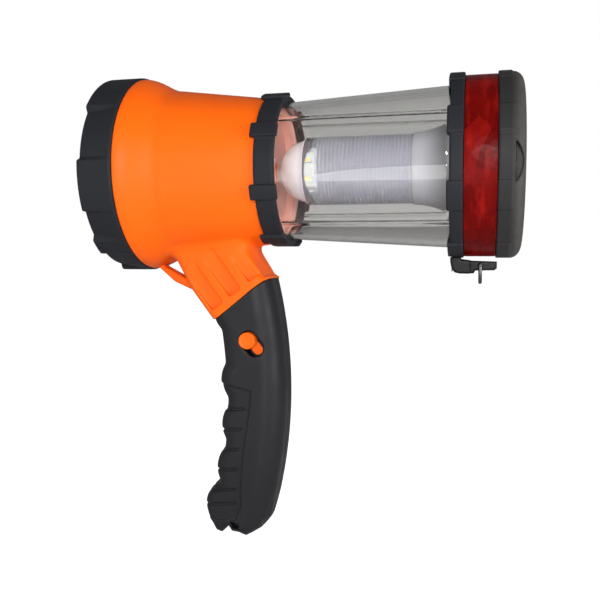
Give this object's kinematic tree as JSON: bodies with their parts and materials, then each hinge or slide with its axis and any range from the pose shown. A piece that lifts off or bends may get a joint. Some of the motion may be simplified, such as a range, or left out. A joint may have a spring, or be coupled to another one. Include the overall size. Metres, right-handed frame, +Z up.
{
  "type": "firefighter flashlight",
  "caption": "Pistol-grip rechargeable flashlight with a forward spot head, a clear side lantern, a red warning band and a hanging loop under its end cap.",
  "frame": {"origin": "centre of the flat end face of the lantern cap", "axes": "+X along the barrel, out of the lantern cap; +Z up, away from the grip; the spot head looks along -X"},
  "size_m": [0.207, 0.1004, 0.2377],
  "materials": {
    "black_shell": "fine-grained black moulding",
    "grip_black": "soft-touch black moulding",
    "orange_shell": "satin orange moulding",
    "clear": "clear moulded plastic",
    "ribbed_clear": "ribbed clear plastic",
    "red_clear": "dark red translucent plastic",
    "white_shell": "white moulding",
    "mirror_dish": "vacuum-metallised",
    "seal": "black seal rubber",
    "sink_alu": "turned aluminium",
    "board_green": "solder-masked circuit board",
    "board_white": "white circuit board",
    "emitter_yellow": "phosphor",
    "led_red": "red lamp chip",
    "screw_steel": "zinc plated",
    "cell_wrap": "shrink-wrapped cell",
    "switch_black": "black switch body",
    "wire_steel": "bent wire",
    "nickel": "nickel plated"
  },
  "bodies": {
    "lamp": {"bezel": "black_shell", "front_lens": "clear", "lens_gasket": "seal", "reflector": "mirror_dish", "spot_emitter": "emitter_yellow", "spot_board": "board_white", "heat_sink": "sink_alu", "driver_board": "board_green", "body_near": "orange_shell", "body_far": "orange_shell", "body_screws": "screw_steel", "grip_near": "grip_black", "grip_far": "grip_black", "grip_screws": "screw_steel", "switch_block": "switch_black", "battery_cell": "cell_wrap", "contact_spring": "nickel", "contact_plate": "nickel", "charge_socket": "switch_black", "collar": "black_shell", "globe_gasket": "seal", "globe": "clear", "base_cup": "white_shell", "lantern_board": "board_white", "lantern_leds": "emitter_yellow", "light_tube": "ribbed_clear", "bell_reflector": "white_shell", "cap_base": "black_shell", "red_band": "red_clear", "red_board": "board_white", "red_leds": "led_red", "end_cap": "black_shell", "cap_screws": "screw_steel", "hook_bracket": "black_shell", "bracket_screws": "screw_steel"},
    "switch": {"switch_knob": "orange_shell"},
    "loop": {"hang_loop": "wire_steel"}
  },
  "joints": [
    {"name": "switch_slide", "type": "slide", "parent": "lamp", "child": "switch", "axis": [0.6691, 0, -0.7431], "range_m": [0, 0.005]},
    {"name": "loop_swing", "type": "hinge", "parent": "lamp", "child": "loop", "pos_m": [-0.0186, 0, -0.0472], "axis": [0, 1, 0], "range_deg": [-55, 35]}
  ]
}
